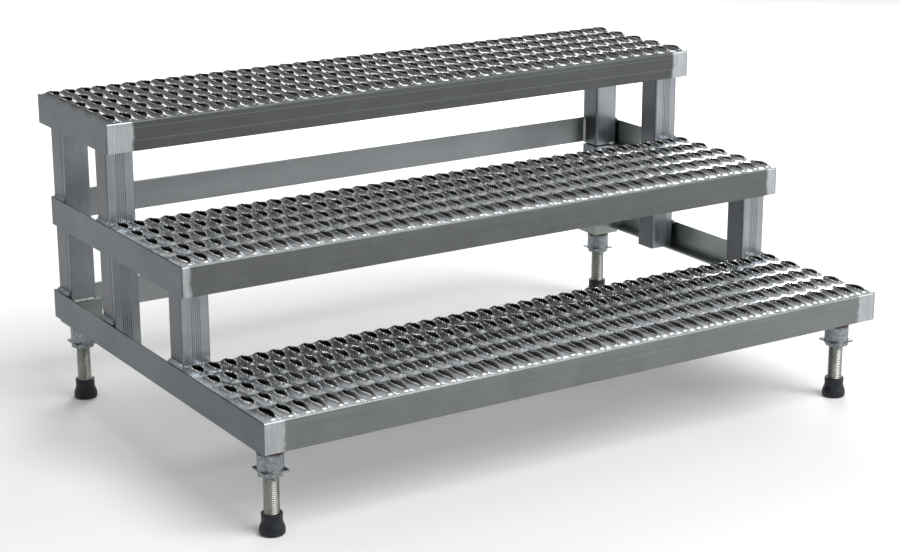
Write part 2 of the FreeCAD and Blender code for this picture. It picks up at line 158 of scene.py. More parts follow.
def make_piece(name, points, faces, material, marks=None):
    """A mesh object from points and faces, with doubled points merged.

    marks holds a named list with one number a point, which the material can read.
    """
    points = np.asarray(points, float)
    _, first, inverse = np.unique(
        np.round(points / 1e-7).astype(np.int64), axis=0, return_index=True, return_inverse=True)
    inverse = inverse.reshape(-1)
    merged = []
    for face in faces:
        corners = []
        for index in face:
            corner = int(inverse[index])
            if corner not in corners:
                corners.append(corner)
        if len(corners) > 2:
            merged.append(corners)
    mesh = bpy.data.meshes.new(name)
    mesh.from_pydata(points[first].tolist(), [], merged)
    mesh.validate()
    mesh.update()
    piece = bpy.data.objects.new(name, mesh)
    bpy.context.scene.collection.objects.link(piece)
    mesh.materials.append(material)
    for mark, values in (marks or {}).items():
        layer = mesh.attributes.new(mark, "FLOAT", "POINT")
        layer.data.foreach_set("value", np.asarray(values, np.float32)[first])
    return piece


def grid_faces(start, rows, columns, closed, flip=False):
    """Quads of a grid of points stored row by row."""
    faces = []
    for row in range(rows - 1):
        for column in range(columns if closed else columns - 1):
            after = (column + 1) % columns
            a = start + row * columns + column
            b = start + row * columns + after
            c = start + (row + 1) * columns + after
            d = start + (row + 1) * columns + column
            faces.append((a, d, c, b) if flip else (a, b, c, d))
    return faces


def lathe(name, profile, centre, material):
    """A solid turned about a vertical line, from (radius, height) points."""
    points = []
    for radius, height in profile:
        for step in range(FOOT_SEGMENTS):
            angle = 2 * math.pi * step / FOOT_SEGMENTS
            points.append((centre[0] + radius * math.cos(angle),
                           centre[1] + radius * math.sin(angle), centre[2] + height))
    return make_piece(name, points, grid_faces(0, len(profile), FOOT_SEGMENTS, True), material)


def arc(centre, radius, start, end, steps):
    """Points of an arc, in degrees."""
    angles = [math.radians(start + (end - start) * k / steps) for k in range(steps + 1)]
    return [(centre[0] + radius * math.cos(a), centre[1] + radius * math.sin(a)) for a in angles]


def shade_by_angle(piece, degrees=35):
    """Smooth shading, with creases sharper than the angle kept."""
    mesh = piece.data
    for polygon in mesh.polygons:
        polygon.use_smooth = True
    mesh.set_sharp_from_angle(angle=math.radians(degrees))


# ---- materials --------------------------------------------------------------------


class Nodes:
    """Small helper for building a shader's node tree."""

    def __init__(self, name):
        self.material = bpy.data.materials.new(name)
        self.material.use_nodes = True
        self.tree = self.material.node_tree
        self.shader = self.tree.nodes["Principled BSDF"]
        self.coords = self.add("ShaderNodeTexCoord").outputs["Object"]

    def add(self, kind, **settings):
        node = self.tree.nodes.new(kind)
        for key, value in settings.items():
            setattr(node, key, value)
        return node

    def link(self, source, target):
        self.tree.links.new(source, target)

    def scaled(self, scale):
        mapping = self.add("ShaderNodeMapping")
        mapping.inputs["Scale"].default_value = scale
        self.link(self.coords, mapping.inputs["Vector"])
        return mapping.outputs["Vector"]

    def noise(self, scale, detail=4.0, roughness=0.6):
        """Noise whose size along X, Y and Z is given by scale, in cycles a metre."""
        node = self.add("ShaderNodeTexNoise")
        node.inputs["Scale"].default_value = 1.0
        node.inputs["Detail"].default_value = detail
        node.inputs["Roughness"].default_value = roughness
        self.link(self.scaled(scale), node.inputs["Vector"])
        return node.outputs["Fac"]

    def ramp(self, source, stops):
        node = self.add("ShaderNodeValToRGB")
        elements = node.color_ramp.elements
        while len(elements) < len(stops):
            elements.new(0.5)
        for element, (position, colour) in zip(elements, stops):
            element.position = position
            element.color = (*colour, 1.0)
        self.link(source, node.inputs["Fac"])
        return node.outputs["Color"]

    def math(self, operation, first, second=None):
        node = self.add("ShaderNodeMath", operation=operation)
        for socket, value in zip(node.inputs, (first, second)):
            if value is None:
                continue
            if isinstance(value, (int, float)):
                socket.default_value = value
            else:
                self.link(value, socket)
        return node.outputs[0]

    def mark(self, name):
        """A named number stored on the mesh's points."""
        return self.add("ShaderNodeAttribute", attribute_name=name).outputs["Fac"]

    def spread(self, source, low, high, out_low, out_high):
        """Map low..high to out_low..out_high, held at both ends."""
        node = self.add("ShaderNodeMapRange")
        for key, value in (("From Min", low), ("From Max", high),
                           ("To Min", out_low), ("To Max", out_high)):
            node.inputs[key].default_value = value
        self.link(source, node.inputs["Value"])
        return node.outputs["Result"]

    def mix(self, factor, first, second):
        node = self.add("ShaderNodeMix", data_type="RGBA")
        self.link(factor, node.inputs["Factor"])
        for socket, value in ((node.inputs[6], first), (node.inputs[7], second)):
            if isinstance(value, tuple):
                socket.default_value = (*value, 1.0)
            else:
                self.link(value, socket)
        return node.outputs[2]

    def axis(self, letter):
        node = self.add("ShaderNodeSeparateXYZ")
        self.link(self.coords, node.inputs["Vector"])
        return node.outputs[letter]

    def normal(self, letter):
        node = self.add("ShaderNodeSeparateXYZ")
        self.link(self.add("ShaderNodeNewGeometry").outputs["Normal"], node.inputs["Vector"])
        return node.outputs[letter]

    def bump(self, height, strength, distance):
        node = self.add("ShaderNodeBump")
        node.inputs["Strength"].default_value = strength
        node.inputs["Distance"].default_value = distance
        self.link(height, node.inputs["Height"])
        self.link(node.outputs["Normal"], self.shader.inputs["Normal"])

    def finish(self, colour, roughness, metallic):
        self.link(colour, self.shader.inputs["Base Color"])
        self.link(roughness, self.shader.inputs["Roughness"])
        self.shader.inputs["Metallic"].default_value = metallic
        return self.material


def tint(colour, amount):
    """The colour times an amount, with no channel over 1."""
    return tuple(min(1.0, channel * amount) for channel in colour)


def mill_colour(nodes, colour, streaks, blotches, contrast):
    """Drawn metal: fine streaks along the draw direction over slow blotches."""
    darker, lighter = tint(colour, 1 - contrast), tint(colour, 1 + contrast)
    fine = nodes.ramp(streaks, [(0.32, darker), (0.68, lighter)])
    slow = nodes.ramp(blotches, [(0.35, tint(colour, 1 - 0.7 * contrast)),
                                 (0.65, tint(colour, 1 + 0.5 * contrast))])
    half = nodes.spread(blotches, 0.0, 1.0, 0.35, 0.65)
    return nodes.mix(half, fine, slow)


def mill_metal(name, colour, draw, contrast, rough, painted_side_shade=None):
    """Mill-finish aluminium drawn along one axis.

    draw holds the streaks' cycles a metre, rough the least and greatest roughness, and
    painted_side_shade the share of the colour's brightness that faces looking along X keep, a
    painted shade.
    """
    nodes = Nodes(name)
    streaks = nodes.noise(draw, 6.0, 0.65)
    blotches = nodes.noise((9.0, 9.0, 14.0), 3.0)
    surface = mill_colour(nodes, colour, streaks, blotches, contrast)
    # Faces looking along X are painted darker, a painted shade.
    if painted_side_shade:
        darker = mill_colour(nodes, tint(colour, painted_side_shade), streaks, blotches, contrast)
        facing = nodes.math("ABSOLUTE", nodes.normal("X"))
        surface = nodes.mix(nodes.spread(facing, 0.5, 0.9, 0.0, 1.0), surface, darker)
    roughness = nodes.spread(streaks, 0.25, 0.75, rough[0], rough[1])
    nodes.bump(streaks, 0.25, 0.0004)
    return nodes.finish(surface, roughness, 1.0)


def near_end(nodes, edge, width, towards):
    """1 within width of a plane across X, with a slightly ragged far boundary."""
    ragged = nodes.noise((0.0, 60.0, 45.0), 2.0)
    offset = nodes.spread(ragged, 0.3, 0.7, -2.5 * MM, 2.5 * MM)
    x = nodes.math("ADD", nodes.axis("X"), offset)
    boundary = edge + towards * width
    fade_from, fade_to = boundary + towards * 2 * MM, boundary - towards * 4 * MM
    return nodes.spread(x, fade_from, fade_to, 0.0, 1.0)


def tread_metal(name, node, painted_web_shade, painted_top_shade, patches, die_lines):
    """Tread sheet: flats and rims painted bright as a highlight, slopes and insides painted dark as
    shade, and a drawn web.

    patches are the widths of the front web's ground ends, left and right. die_lines are the
    heights of its drawn lines, as shares of the web's height from the top. painted_web_shade and
    painted_top_shade scale the web's and the pierced top's colour per tread, a painted shade.
    """
    low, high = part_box(node)
    sheet_top = high.z - RIM_HEIGHT
    nodes = Nodes(name)
    streaks = nodes.noise((5.0, 500.0, 700.0), 6.0, 0.65)
    blotches = nodes.noise((14.0, 20.0, 14.0), 4.0)
    # The web's tone is scaled per tread, a painted shade.
    web = mill_colour(nodes, tint((0.29, 0.31, 0.30), painted_web_shade), streaks, blotches, 0.2)

    # The flats are painted bright, a painted highlight, and the slopes up to each rim darker, a
    # painted shade.
    mottle = nodes.noise((150.0, 150.0, 150.0), 5.0)
    dull, bright = tint((0.66, 0.69, 0.72), painted_top_shade), tint((0.94, 0.97, 1.0), painted_top_shade)
    flats = nodes.ramp(mottle, [(0.3, dull), (0.7, bright)])
    painted_slope_shade = nodes.spread(nodes.axis("Z"), sheet_top + 0.8 * MM, sheet_top + 4.5 * MM, 0.0, 0.78)
    pierced = nodes.mix(painted_slope_shade, flats, (0.09, 0.105, 0.115))
    # The rim mark paints a highlight along each rim's edge and the tips of its teeth, dimmed with
    # the top's painted shade.
    rim = nodes.spread(nodes.mark("rim"), 0.25, 0.95, 0.0, 1.0)
    rim_highlight_colour = tint((0.95, 0.94, 0.90), 0.5 + 0.5 * painted_top_shade)
    pierced = nodes.mix(rim, pierced, rim_highlight_colour)
    on_top = nodes.spread(nodes.axis("Z"), sheet_top - 1.2 * MM, sheet_top - 0.2 * MM, 0.0, 1.0)
    colour = nodes.mix(on_top, web, pierced)

    ground = nodes.noise((420.0, 420.0, 22.0), 5.0)
    ground_colour = nodes.ramp(ground, [(0.3, (0.31, 0.33, 0.34)), (0.7, (0.45, 0.47, 0.48))])
    left = near_end(nodes, low.x, patches[0], 1)
    right = near_end(nodes, high.x, patches[1], -1)
    on_front = nodes.spread(nodes.axis("Y"), low.y + 1.2 * MM, low.y + 2.0 * MM, 1.0, 0.0)
    below = nodes.math("SUBTRACT", 1.0, on_top)
    ends = nodes.math("MAXIMUM", left, right)
    mask = nodes.math("MULTIPLY", nodes.math("MULTIPLY", ends, on_front), below)
    colour = nodes.mix(mask, colour, ground_colour)

    keep_clear = nodes.math("SUBTRACT", 1.0, ends)
    for share in die_lines:
        z = sheet_top - share * (sheet_top - low.z)
        gap = nodes.math("ABSOLUTE", nodes.math("SUBTRACT", nodes.axis("Z"), z))
        line = nodes.spread(gap, 0.3 * MM, 1.0 * MM, 0.7, 0.0)
        line = nodes.math("MULTIPLY", nodes.math("MULTIPLY", line, keep_clear), on_front)
        colour = nodes.mix(line, colour, (0.15, 0.16, 0.17))

    # The inside mark paints the openings' inner walls, the webs' inner faces and the lips dark, a
    # painted shade.
    inner_shade_colour = nodes.ramp(mottle, [(0.3, (0.012, 0.012, 0.011)), (0.75, (0.06, 0.055, 0.045))])
    colour = nodes.mix(nodes.spread(nodes.mark("inner_shade_mark"), 0.1, 0.6, 0.0, 1.0), colour, inner_shade_colour)

    roughness = nodes.spread(mottle, 0.25, 0.75, 0.23, 0.38)
    nodes.bump(nodes.math("ADD", streaks, nodes.math("MULTIPLY", mottle, 0.5)), 0.3, 0.0005)
    return nodes.finish(colour, roughness, 1.0)


def galvanised(name):
    """Zinc spangle, turning dark brown in a band towards the sleeve's top."""
    nodes = Nodes(name)
    cells = nodes.add("ShaderNodeTexVoronoi")
    cells.inputs["Scale"].default_value = 330.0
    nodes.link(nodes.coords, cells.inputs["Vector"])
    spangle = nodes.add("ShaderNodeSeparateColor")
    nodes.link(cells.outputs["Color"], spangle.inputs["Color"])
    zinc = nodes.ramp(spangle.outputs[0], [(0.0, (0.19, 0.215, 0.23)), (1.0, (0.34, 0.37, 0.39))])
    scratches = nodes.noise((160.0, 160.0, 90.0), 6.0)
    wander = nodes.spread(scratches, 0.3, 0.7, -DARK_BAND_WANDER, DARK_BAND_WANDER)
    z = nodes.math("ADD", nodes.axis("Z"), wander)
    dark_band = nodes.spread(z, DARK_BAND_FROM, DARK_BAND_TO, 0.0, 1.0)
    dark_band_colour = nodes.ramp(scratches, [(0.35, (0.015, 0.010, 0.008)), (0.7, (0.10, 0.05, 0.03))])
    colour = nodes.mix(dark_band, zinc, dark_band_colour)
    roughness = nodes.spread(scratches, 0.3, 0.7, 0.4, 0.62)
    nodes.bump(scratches, 0.3, 0.0004)
    return nodes.finish(colour, roughness, 0.85)


def dark_steel():
    """Dull plate and nut steel, worn lighter in places."""
    nodes = Nodes("plate_and_nut_steel")
    wear = nodes.noise((130.0, 130.0, 130.0), 6.0)
    colour = nodes.ramp(wear, [(0.3, (0.10, 0.115, 0.12)), (0.72, (0.36, 0.39, 0.40))])
    roughness = nodes.spread(wear, 0.3, 0.7, 0.36, 0.56)
    nodes.bump(wear, 0.3, 0.0003)
    return nodes.finish(colour, roughness, 0.9)


def rod_steel():
    """Plated thread with yellowish tarnish."""
    nodes = Nodes("rod_steel_plated")
    tarnish = nodes.noise((120.0, 120.0, 40.0), 5.0)
    colour = nodes.ramp(tarnish, [(0.3, (0.27, 0.275, 0.245)), (0.7, (0.45, 0.455, 0.42))])
    roughness = nodes.spread(tarnish, 0.3, 0.7, 0.34, 0.46)
    nodes.bump(tarnish, 0.15, 0.0002)
    return nodes.finish(colour, roughness, 1.0)


def weld_metal(name, dull, bright):
    """Gritty weld metal."""
    nodes = Nodes(name)
    grit = nodes.noise((600.0, 600.0, 600.0), 5.0)
    colour = nodes.ramp(grit, [(0.3, dull), (0.65, bright)])
    roughness = nodes.spread(grit, 0.3, 0.7, 0.3, 0.6)
    nodes.bump(grit, 0.5, 0.0006)
    return nodes.finish(colour, roughness, 1.0)


def foot_rubber():
    """Moulded rubber with a fine grain and a little dust."""
    nodes = Nodes("moulded_rubber")
    dust = nodes.noise((75.0, 75.0, 75.0), 5.0)
    colour = nodes.ramp(dust, [(0.4, (0.003, 0.005, 0.008)), (0.75, (0.014, 0.019, 0.028))])
    roughness = nodes.spread(dust, 0.3, 0.7, 0.36, 0.55)
    nodes.bump(nodes.noise((900.0, 900.0, 900.0), 3.0), 0.2, 0.0002)
    nodes.shader.inputs["Specular IOR Level"].default_value = 0.35
    return nodes.finish(colour, roughness, 0.0)


# Streaks drawn out along one axis, in cycles a metre.
ALONG_X = (4.0, 520.0, 520.0)
ALONG_Y = (520.0, 4.0, 520.0)
ALONG_Z = (520.0, 520.0, 5.0)

# The left rails are painted darker and the right rails lighter than one aluminium: painted shade
# and painted light.
RAILS = {
    "left": mill_metal("left_rail_aluminium_painted_shade", (0.13, 0.148, 0.157), ALONG_Y, 0.34, (0.32, 0.52)),
    "right": mill_metal("right_rail_aluminium_painted_light", (0.31, 0.34, 0.33), ALONG_Y, 0.34, (0.32, 0.52)),
}
# Posts are painted darker on faces looking along X, a painted shade.
POST = mill_metal("post_mill_aluminium_side_shade", (0.29, 0.31, 0.33), ALONG_Z, 0.3, (0.30, 0.48), 0.42)
BAR = mill_metal("bar_mill_aluminium", (0.33, 0.348, 0.356), ALONG_X, 0.14, (0.36, 0.5))
SOCKET = mill_metal("socket_aluminium_dull", (0.27, 0.30, 0.28), ALONG_Z, 0.2, (0.42, 0.6))
STEEL = dark_steel()
ROD = rod_steel()
WELD = weld_metal("weld_metal", (0.40, 0.41, 0.41), (0.82, 0.82, 0.81))
EDGE_WELD = weld_metal("edge_weld_metal", (0.13, 0.15, 0.17), (0.46, 0.49, 0.52))
RUBBER = foot_rubber()


# ---- CAD nodes that stay ----------------------------------------------------------


def dress(node, material, bevel=None):
    """A CAD node keeps its shape, gets a material and softly broken edges."""
    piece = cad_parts[node]
    piece.data.materials.clear()
    piece.data.materials.append(material)
    shade_by_angle(piece)
    if bevel:
        modifier = piece.modifiers.new("broken_edges", "BEVEL")
        modifier.width = bevel
        modifier.segments = 2
        modifier.limit_method = "ANGLE"
        modifier.angle_limit = math.radians(40)
        modifier.harden_normals = True


for level in LEVELS:
    for side in SIDES:
        dress(f"{level}_rail_{side}", RAILS[side], 0.6 * MM)
for side in SIDES:
    for post in POSTS:
        dress(f"{post}_{side}", POST)
dress("rear_brace", BAR, 0.5 * MM)
dress("base_rear_bar", BAR, 0.5 * MM)
for leg in LEGS:
    dress(f"leg_socket_{leg}", SOCKET, 0.6 * MM)
    dress(f"leg_sleeve_{leg}", galvanised(f"sleeve_zinc_{leg}"))
    dress(f"leg_plate_{leg}", STEEL, 0.4 * MM)
    dress(f"leg_nut_{leg}", STEEL, 0.3 * MM)
    dress(f"foot_washer_{leg}", STEEL)


# ---- treads -----------------------------------------------------------------------


def cell_boundary(x0, x1, y0, y1):
    """Points round a cell, from the middle of its front edge, up the right side and back."""
    half = END_STEPS // 2
    middle = (x0 + x1) / 2
    right = [(middle + (x1 - middle) * k / half, y0) for k in range(half)]
    right += [(x1, y0 + (y1 - y0) * k / SIDE_STEPS) for k in range(SIDE_STEPS)]
    right += [(x1 - (x1 - middle) * k / half, y1) for k in range(half)]
    left = [(middle - (middle - x0) * k / half, y1) for k in range(half)]
    left += [(x0, y1 - (y1 - y0) * k / SIDE_STEPS) for k in range(SIDE_STEPS)]
    left += [(x0 + (middle - x0) * k / half, y0) for k in range(half)]
    return np.array(right + left)


def rim_outline(x, y, front, rear, crest):
    """The lens-shaped rim, with teeth along its crests: points, heights and inward offsets."""
    steps = SIDE_STEPS + END_STEPS
    outline, heights = [], []
    for side in (1, -1):
        for k in range(steps):
            share = k / steps if side > 0 else 1 - k / steps
            bulge = math.sin(math.pi * share)
            outline.append((x + side * OPENING_HALF_WIDTH * bulge ** OUTLINE_POWER,
                            y - front + (front + rear) * share))
            tooth = TOOTH if k % 2 and bulge > TOOTH_FROM else 0.0
            heights.append(RIM_TIP + (crest - RIM_TIP) * bulge ** CREST_POWER - tooth)
    outline = np.array(outline)
    centre = np.array([x, y + (rear - front) / 2])
    inward = centre - outline
    inward /= np.linalg.norm(inward, axis=1)[:, None]
    return outline, np.array(heights), inward


def cell_rings(boundary, outline, heights, inward, top):
    """Rings of a cell: up to the rim, down its inner wall and back below the sheet."""
    rings = []
    for share in TOP_RINGS:
        flat = boundary + (outline - boundary) * share
        rings.append(np.column_stack([flat, top + heights * share ** SLOPE_POWER]))
    wall = outline + inward * RIM_EDGE
    level = np.full(len(wall), top - SHEET)
    rings.append(np.column_stack([wall, top + heights]))
    rings.append(np.column_stack([wall, top + heights - RIM_GLINT]))
    rings.append(np.column_stack([wall, level]))
    rings.append(np.column_stack([boundary, level]))
    return rings


def bend_points(face_y, inward, top, radius, stops):
    """Points round a web's bend, at angles in degrees from the sheet to the web."""
    return [(face_y + inward * (BEND - radius * math.sin(math.radians(stop))),
             top - BEND + radius * math.cos(math.radians(stop))) for stop in stops]


def web_profile(face_y, inward, top, bottom):
    """Section of a web and its bend, from the sheet's top round to its underside."""
    outer = bend_points(face_y, inward, top, BEND, BEND_STOPS)
    inner = bend_points(face_y, inward, top, BEND - SHEET, BEND_STOPS[::-2])
    flats = [(face_y, top - (top - bottom) * k / 4) for k in (1, 2, 3)]
    return outer + flats + [(face_y, bottom), (face_y + inward * SHEET, bottom)] + inner


def box_points(low, high):
    """Points and faces of a plain block between two corners."""
    points = [(x, y, z) for z in (low[2], high[2]) for y in (low[1], high[1])
              for x in (low[0], high[0])]
    faces = [(0, 2, 3, 1), (4, 5, 7, 6), (0, 1, 5, 4), (2, 6, 7, 3), (0, 4, 6, 2), (1, 3, 7, 5)]
    return points, faces


def cell_edges(low, high, first, pitch, count):
    """Edges between cells: half way between openings, and the sheet's own two ends."""
    inner = [first + pitch * (k + 0.5) for k in range(count - 1)]
    return [low] + inner + [high]


def build_tread(level, painted_web_shade, painted_top_shade, patches, die_lines):
    """One formed plank: pierced top, two webs with bottom lips, and the sheet's cut ends."""
    node = f"{level}_tread"
    low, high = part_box(node)
    top = high.z - RIM_HEIGHT
    stand_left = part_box("base_rail_left")[0].x
    columns = [stand_left + FIRST_COLUMN + COLUMN_PITCH * k for k in range(COLUMNS)]
    rows = [low.y + FIRST_ROW + ROW_PITCH * k for k in range(ROWS)]
    x_edges = cell_edges(low.x, high.x, columns[0], COLUMN_PITCH, COLUMNS)
    y_edges = cell_edges(low.y + BEND, high.y - BEND, rows[0], ROW_PITCH, ROWS)

    points, faces = [], []
    rim, inner_shade_mark = [], []
    around = 2 * (SIDE_STEPS + END_STEPS)
    for i, x in enumerate(columns):
        for j, y in enumerate(rows):
            shift = COLUMN_SHIFT * (1 if i % 2 else -1)
            front = FRONT_REACH if j == 0 else OPENING_HALF_LENGTH + shift
            rear = REAR_REACH if j == ROWS - 1 else OPENING_HALF_LENGTH - shift
            crest = RIM_HEIGHT - random.uniform(0.0, CREST_SPREAD)
            boundary = cell_boundary(x_edges[i], x_edges[i + 1], y_edges[j], y_edges[j + 1])
            outline, heights, inward = rim_outline(x, y, front, rear, crest)
            rings = cell_rings(boundary, outline, heights, inward, top)
            start = len(points)
            points += np.concatenate(rings).tolist()
            faces += grid_faces(start, len(rings), around, True)
            # Each cell's points carry a rim highlight mark and an inside shade mark for the
            # material.
            rim += np.outer(RIM_HIGHLIGHT_MARKS, np.resize(TOOTH_HIGHLIGHT_MARKS, around)).reshape(-1).tolist()
            inner_shade_mark += np.repeat(INSIDE_SHADE_MARKS, around).tolist()

    stations = sorted({round(float(v), 9) for i in range(COLUMNS) for v in
                       np.linspace(x_edges[i], x_edges[i + 1], END_STEPS + 1)})
    for web_y, inward in ((low.y, 1), (high.y, -1)):
        start = len(points)
        for x in stations:
            over_flange = min(x - low.x, high.x - x) < FLANGE_REACH
            notch = FLANGE_WALL if over_flange and inward < 0 else 0.0
            section = web_profile(web_y, inward, top, low.z + notch)
            points += [(x, y, z) for y, z in section]
            # The web's inner face is marked for painted shade.
            inner_shade_mark += [0.0] * (len(section) - 4) + [1.0] * 4
        section_size = len(section)
        faces += grid_faces(start, len(stations), section_size, False, flip=inward < 0)
        last = start + (len(stations) - 1) * section_size
        cap = list(range(start, start + section_size))
        end_cap = list(range(last, last + section_size))
        faces.append(tuple(cap[::-1] if inward > 0 else cap))
        faces.append(tuple(end_cap if inward > 0 else end_cap[::-1]))

        lip_y = sorted((web_y + inward * (SHEET - LIP_OVERLAP), web_y + inward * LIP))
        lip, lip_faces = box_points((low.x + FLANGE_REACH, lip_y[0], low.z),
                                    (high.x - FLANGE_REACH, lip_y[1], low.z + SHEET))
        faces += [tuple(len(points) + index for index in face) for face in lip_faces]
        points += lip
        # The lips get part of the inside's painted shade.
        inner_shade_mark += [LIP_SHADE_MARK] * len(lip)

    for x, direction in ((low.x, 1), (high.x, -1)):
        ys = [v for j in range(ROWS) for v in
              np.linspace(y_edges[j], y_edges[j + 1], SIDE_STEPS + 1)]
        start = len(points)
        points += [(x, float(y), top) for y in ys] + [(x, float(y), top - SHEET) for y in ys]
        faces += grid_faces(start, 2, len(ys), False, flip=direction > 0)

    material = tread_metal(f"{level}_tread_aluminium", node, painted_web_shade, painted_top_shade,
                           patches, die_lines)
    inner_shade_mark += [0.0] * (len(points) - len(inner_shade_mark))
    rim += [0.0] * (len(points) - len(rim))
    marks = {"rim": rim, "inner_shade_mark": inner_shade_mark}
    piece = make_piece(f"{level}_tread_plank", points, faces, material, marks)
    shade_by_angle(piece, 38)
    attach(piece, "frame")
    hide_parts(node)


# The second and third numbers are each tread's painted shade for its web and its pierced top.
build_tread("base", 0.6, 1.0, (34 * MM, 36 * MM), (0.33,))
build_tread("middle", 0.41, 1.0, (13 * MM, 20 * MM), ())
build_tread("top", 0.29, 0.32, (46 * MM, 33 * MM), (0.22, 0.65))


# ---- legs -------------------------------------------------------------------------


def leg_centre(node):
    """The middle of a leg piece's foot."""
    low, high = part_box(node)
    return Vector(((low.x + high.x) / 2, (low.y + high.y) / 2, low.z))


def build_rod(leg):
    """A screw with a real helical thread and chamfered ends."""
    node = f"threaded_rod_{leg}"
    low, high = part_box(node)
    centre = leg_centre(node)
    radius = (high.x - low.x) / 2
    length = high.z - low.z
    rows = int(length / (THREAD_PITCH / ROD_ROWS_A_TURN))
    points = []
    for row in range(rows + 1):
        z = length * row / rows
        end = min(z, length - z)
        for step in range(ROD_SEGMENTS):
            angle = 2 * math.pi * step / ROD_SEGMENTS
            phase = (z / THREAD_PITCH - step / ROD_SEGMENTS) % 1.0
            ridge = 1 - abs(2 * phase - 1)
            depth = THREAD_DEPTH * min(1.0, max(0.0, THREAD_FLANK * (1 - ridge) - THREAD_CREST))
            r = min(radius - depth, radius - THREAD_DEPTH + end)
            points.append((centre.x + r * math.cos(angle), centre.y + r * math.sin(angle),
                           centre.z + z))
    faces = grid_faces(0, rows + 1, ROD_SEGMENTS, True)
    faces.append(tuple(range(ROD_SEGMENTS))[::-1])
    faces.append(tuple(range(rows * ROD_SEGMENTS, (rows + 1) * ROD_SEGMENTS)))
    piece = make_piece(f"leg_screw_{leg}", points, faces, ROD)
    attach(piece, f"rod_{leg}")
    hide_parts(node)


def build_foot(leg):
    """A moulded cup: rounded sole edge, flare, waist and collar with a rolled lip."""
    node = f"rubber_foot_{leg}"
    low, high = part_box(node)
    flare = (high.x - low.x) / 2
    tall = high.z - low.z
    profile = [(0.0, 0.0), (flare - 4.5 * MM, 0.0)]
    profile += arc((flare - FOOT_SOLE_ROUND, FOOT_SOLE_ROUND), FOOT_SOLE_ROUND, -80, 0, 6)
    profile += [(flare, 8.0 * MM), (flare - 0.5 * MM, 11.0 * MM), (flare - 1.6 * MM, 14.5 * MM),
                (flare - 2.9 * MM, 17.8 * MM), (FOOT_COLLAR - 0.15 * MM, 21.0 * MM),
                (FOOT_COLLAR - 0.25 * MM, 26.0 * MM), (FOOT_COLLAR, 32.0 * MM)]
    lip_centre = (FOOT_COLLAR - FOOT_LIP_ROUND, tall - FOOT_LIP_ROUND)
    profile += arc(lip_centre, FOOT_LIP_ROUND, 0, 90, 4)
    profile += [(FOOT_BORE + 0.6 * MM, tall), (FOOT_BORE, tall - 0.6 * MM),
                (FOOT_BORE, FOOT_FLOOR), (0.0, FOOT_FLOOR)]
    piece = lathe(f"foot_moulding_{leg}", profile, leg_centre(node), RUBBER)
    shade_by_angle(piece, 50)
    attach(piece, f"foot_{leg}")
    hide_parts(node)


for leg in LEGS:
    build_rod(leg)
    build_foot(leg)


# ---- welds ------------------------------------------------------------------------


def loose_parts(mesh):
    """Groups of points that hang together, after doubled points are merged."""
    keys = [tuple(round(c * 1e5) for c in vertex.co) for vertex in mesh.vertices]
    parent = {key: key for key in keys}

    def root(key):
        while parent[key] != key:
            parent[key] = parent[parent[key]]
            key = parent[key]
        return key

    for edge in mesh.edges:
        parent[root(keys[edge.vertices[0]])] = root(keys[edge.vertices[1]])
    groups = {}
    for key, vertex in zip(keys, mesh.vertices):
        groups.setdefault(root(key), {})[key] = vertex.co.copy()
    return [list(group.values()) for _, group in sorted(groups.items())]


def prism_frame(corners):
    """A right-angled prism's corner at one end, its two legs there and its run."""
    points = [np.array(corner) for corner in corners]
    spans = np.ptp(points, axis=0)
    for axis in range(3):
        near = min(p[axis] for p in points)
        ends = [p for p in points if abs(p[axis] - near) < 1e-5]
        if len(ends) != 3:
            continue
        for index in range(3):
            corner = ends[index]
            others = [ends[k] - corner for k in range(3) if k != index]
            if abs(np.dot(others[0], others[1])) < 1e-9:
                run = np.zeros(3)
                run[axis] = spans[axis]
                return corner, others[0], others[1], run
    raise ValueError("a weld solid is not a right-angled prism along an axis")


def weld_bead(corners, points, faces):
    """A rippled bead in place of one plain prism."""
    corner, first, second, run = prism_frame(corners)
    length = float(np.linalg.norm(run))
    steps = max(BEAD_LEAST_STEPS, int(length / BEAD_STEP))
    start = len(points)
    phase = random.uniform(0.0, BEAD_PHASES)
    for k in range(steps + 1):
        along = k / steps
        turns = along * length / BEAD_RIPPLE_PITCH
        ripple = BEAD_REACH + BEAD_RIPPLE * math.sin(phase + turns * 2 * math.pi)
        ripple *= 1.0 - BEAD_GRAIN * random.random()
        taper = min(1.0, BEAD_END + BEAD_END_SLOPE * min(along, 1 - along))
        reach = ripple * taper
        ring = [corner + run * along]
        for step in range(BEAD_SEGMENTS + 1):
            angle = math.pi / 2 * step / BEAD_SEGMENTS
            crown = 1.0 - BEAD_CROWN * math.sin(2 * angle)
            ring.append(corner + run * along
                        + (first * math.cos(angle) + second * math.sin(angle)) * reach * crown)
        points += [tuple(map(float, point)) for point in ring]
    size = BEAD_SEGMENTS + 2
    turn = float(np.dot(np.cross(first, second), run))
    faces += grid_faces(start, steps + 1, size, True, flip=turn < 0)
    cap = list(range(start, start + size))
    end_cap = list(range(start + steps * size, start + (steps + 1) * size))
    faces.append(tuple(cap[::-1] if turn > 0 else cap))
    faces.append(tuple(end_cap if turn > 0 else end_cap[::-1]))


def build_welds():
    """The CAD model's fillet welds, each as a rippled bead."""
    points, faces = [], []
    for corners in loose_parts(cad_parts["weld_beads"].data):
        weld_bead(corners, points, faces)
    piece = make_piece("welded_fillets", points, faces, WELD)
    shade_by_angle(piece, 60)
    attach(piece, "frame")
    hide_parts("weld_beads")


